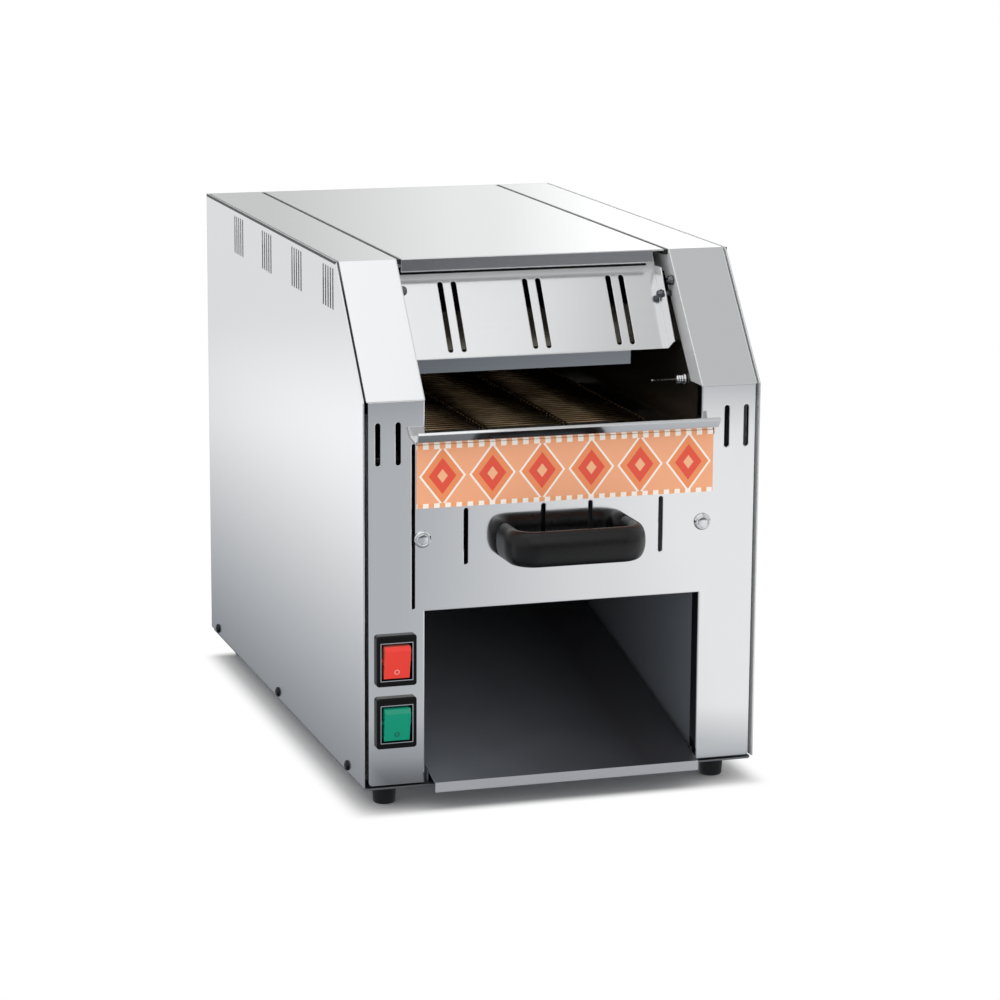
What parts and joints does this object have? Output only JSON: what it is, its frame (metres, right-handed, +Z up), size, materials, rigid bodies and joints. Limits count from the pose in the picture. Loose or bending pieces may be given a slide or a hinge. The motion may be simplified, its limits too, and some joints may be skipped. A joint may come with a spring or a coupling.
{
  "type": "conveyor toaster",
  "caption": "Countertop conveyor toaster: stainless casing with a wire belt behind an open front mouth, a slotted hood, a return chute below, a bow handle and two rocker switches.",
  "frame": {"origin": "middle of the bounding box's footprint, on the table under the feet", "axes": "+X to the operator's right across the front, +Y from the feeding side to the back, +Z up"},
  "size_m": [0.294, 0.527, 0.378],
  "materials": {
    "stainless_brushed": "brushed",
    "stainless_mirror": "polished",
    "inner_steel": "satin",
    "base_steel": "satin",
    "belt_wire": "heat-tinted",
    "shaft_steel": "turned",
    "zinc_steel": "zinc plated",
    "screw_steel": "polished",
    "tube_quartz": "frosted",
    "holder_ceramic": "unglazed",
    "black_nylon": "moulded",
    "handle_black": "polished",
    "switch_black": "moulded",
    "rocker_red": "translucent",
    "rocker_green": "translucent",
    "label_film": "printed film",
    "motor_black": "satin",
    "foot_rubber": "matt"
  },
  "bodies": {
    "casing": {"back_deflector": "inner_steel", "back_panel": "stainless_brushed", "back_screws": "screw_steel", "base_angle_left": "zinc_steel", "base_angle_right": "zinc_steel", "base_plate": "base_steel", "belt_links": "belt_wire", "belt_wires": "belt_wire", "cable_gland": "black_nylon", "chute_rails": "zinc_steel", "drive_chain": "zinc_steel", "feet": "foot_rubber", "front_plate": "stainless_mirror", "front_screws": "screw_steel", "gear_motor": "motor_black", "green_switch_frame": "switch_black", "handle": "handle_black", "handle_screws": "zinc_steel", "hood_bolts": "zinc_steel", "hood_plate": "stainless_brushed", "label_band": "label_film", "lower_reflector": "inner_steel", "lower_tubes": "tube_quartz", "motor_bracket": "zinc_steel", "red_switch_frame": "switch_black", "roof_strip_left": "stainless_brushed", "roof_strip_right": "stainless_brushed", "shaft_bushes": "zinc_steel", "side_panel_left": "stainless_brushed", "side_panel_right": "stainless_brushed", "side_screws": "screw_steel", "strip_screws": "screw_steel", "temperature_probe": "zinc_steel", "terminal_block": "black_nylon", "top_cover": "stainless_brushed", "tube_holders": "holder_ceramic", "tunnel_wall_left": "inner_steel", "tunnel_wall_right": "inner_steel", "upper_reflector": "inner_steel", "upper_tubes": "tube_quartz"},
    "drive_axle": {"drive_shaft": "shaft_steel", "drive_wheels": "shaft_steel", "shaft_sprocket": "zinc_steel"},
    "idler_axle": {"idler_shaft": "shaft_steel", "idler_wheels": "shaft_steel"},
    "motor_output": {"motor_sprocket": "zinc_steel"},
    "red_button": {"red_rocker": "rocker_red"},
    "green_button": {"green_rocker": "rocker_green"},
    "return_chute": {"chute": "inner_steel"}
  },
  "joints": [
    {"name": "drive_turn", "type": "hinge", "parent": "casing", "child": "drive_axle", "pos_m": [0, 0.17209, 0.232], "axis": [1, 0, 0], "continuous": true},
    {"name": "idler_turn", "type": "hinge", "parent": "casing", "child": "idler_axle", "pos_m": [0, -0.1295, 0.232], "axis": [1, 0, 0], "continuous": true},
    {"name": "motor_turn", "type": "hinge", "parent": "casing", "child": "motor_output", "pos_m": [0, 0.10609, 0.13], "axis": [1, 0, 0], "continuous": true},
    {"name": "red_press", "type": "hinge", "parent": "casing", "child": "red_button", "pos_m": [-0.1221, -0.2235, 0.1091], "axis": [-1, 0, 0], "range_deg": [0, 14]},
    {"name": "green_press", "type": "hinge", "parent": "casing", "child": "green_button", "pos_m": [-0.1221, -0.2235, 0.0646], "axis": [-1, 0, 0], "range_deg": [0, 14]},
    {"name": "chute_slide", "type": "slide", "parent": "casing", "child": "return_chute", "axis": [0, -1, 0], "range_m": [0, 0.25]}
  ],
  "couplings": [
    {"joint": "idler_turn", "follows": "drive_turn", "ratio": 1},
    {"joint": "motor_turn", "follows": "drive_turn", "ratio": 1}
  ]
}
